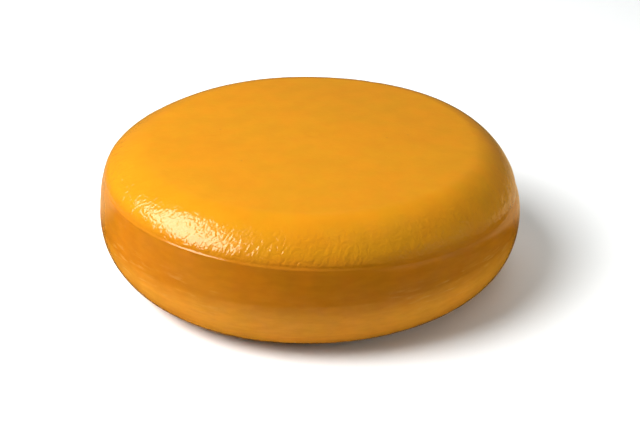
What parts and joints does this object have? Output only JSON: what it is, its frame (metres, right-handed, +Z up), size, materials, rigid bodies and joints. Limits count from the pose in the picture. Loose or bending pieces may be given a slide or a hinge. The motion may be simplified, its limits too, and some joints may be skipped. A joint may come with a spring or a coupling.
{
  "type": "gouda cheese wheel",
  "caption": "Whole uncut wheel of young gouda with a glossy yellow rind: flat top, rounded shoulder, press crease, leaning side band and rounded heel on a flat foot.",
  "frame": {"origin": "middle of the flat foot that the wheel rests on", "axes": "+Z up along the wheel's axis, -Y towards the picture's camera, +X to its right"},
  "size_m": [0.36, 0.36, 0.1134],
  "materials": {
    "rind": "glossy yellow cheese coating with an orange-peel skin"
  },
  "bodies": {
    "root": {"gouda_cheese": "rind"}
  },
  "joints": []
}
